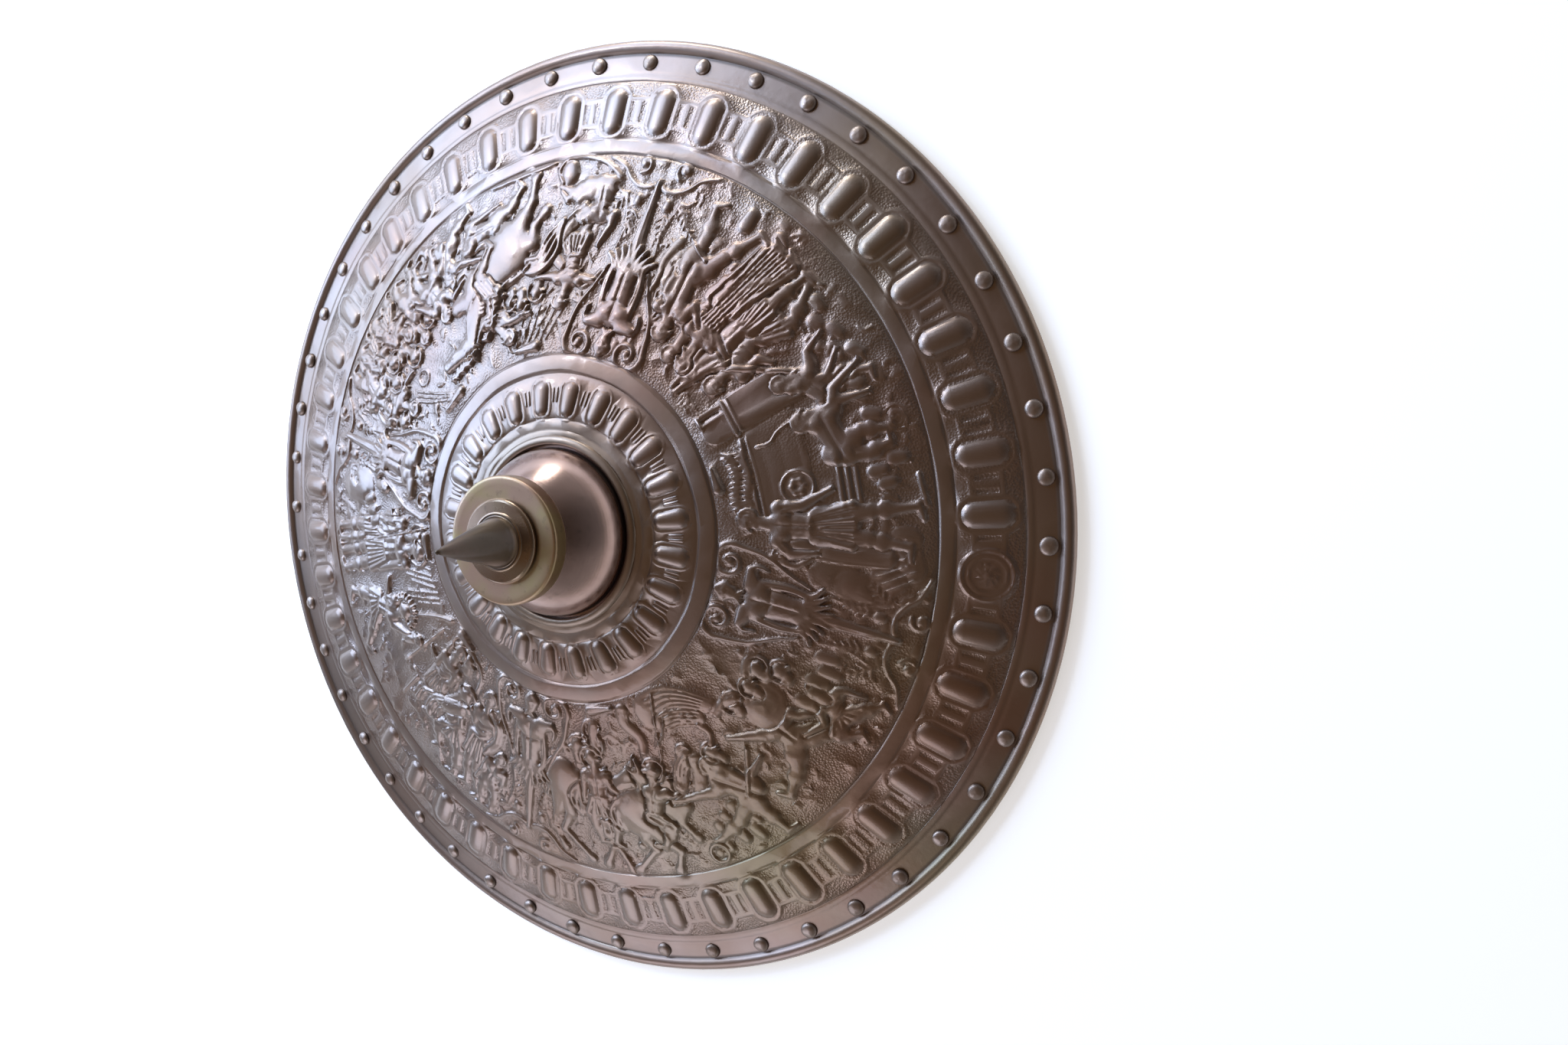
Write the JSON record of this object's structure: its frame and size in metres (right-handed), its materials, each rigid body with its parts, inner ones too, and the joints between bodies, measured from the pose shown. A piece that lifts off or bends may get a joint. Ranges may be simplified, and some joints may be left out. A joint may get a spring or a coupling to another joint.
{
  "type": "round embossed shield",
  "caption": "Round convex parade shield of embossed steel with a rolled rim, a ring of rivets and a turned bronze centre boss ending in a pointed spike.",
  "frame": {"origin": "centre of the shield, on the floor plane that its rim lies on", "axes": "+Z out of the shield's front along the boss and its spike; +X through one of the four half figures on shafts, between the quarter with the riders and the quarter with the building"},
  "size_m": [0.5792, 0.5792, 0.1616],
  "materials": {
    "dark_steel": "embossed, worn and browned",
    "rivet_steel": "worn and browned",
    "boss_bronze": "turned, patinated to a copper brown",
    "spike_bronze": "turned, dark brown patina"
  },
  "bodies": {
    "root": {"shield_disc": "dark_steel", "boss": "boss_bronze", "boss_spike": "spike_bronze", "rivet_01": "rivet_steel", "rivet_02": "rivet_steel", "rivet_03": "rivet_steel", "rivet_04": "rivet_steel", "rivet_05": "rivet_steel", "rivet_06": "rivet_steel", "rivet_07": "rivet_steel", "rivet_08": "rivet_steel", "rivet_09": "rivet_steel", "rivet_10": "rivet_steel", "rivet_11": "rivet_steel", "rivet_12": "rivet_steel", "rivet_13": "rivet_steel", "rivet_14": "rivet_steel", "rivet_15": "rivet_steel", "rivet_16": "rivet_steel", "rivet_17": "rivet_steel", "rivet_18": "rivet_steel", "rivet_19": "rivet_steel", "rivet_20": "rivet_steel", "rivet_21": "rivet_steel", "rivet_22": "rivet_steel", "rivet_23": "rivet_steel", "rivet_24": "rivet_steel", "rivet_25": "rivet_steel", "rivet_26": "rivet_steel", "rivet_27": "rivet_steel", "rivet_28": "rivet_steel", "rivet_29": "rivet_steel", "rivet_30": "rivet_steel", "rivet_31": "rivet_steel", "rivet_32": "rivet_steel", "rivet_33": "rivet_steel", "rivet_34": "rivet_steel", "rivet_35": "rivet_steel", "rivet_36": "rivet_steel", "rivet_37": "rivet_steel", "rivet_38": "rivet_steel", "rivet_39": "rivet_steel", "rivet_40": "rivet_steel", "rivet_41": "rivet_steel", "rivet_42": "rivet_steel", "rivet_43": "rivet_steel", "rivet_44": "rivet_steel", "rivet_45": "rivet_steel", "rivet_46": "rivet_steel", "rivet_47": "rivet_steel", "rivet_48": "rivet_steel"}
  },
  "joints": []
}
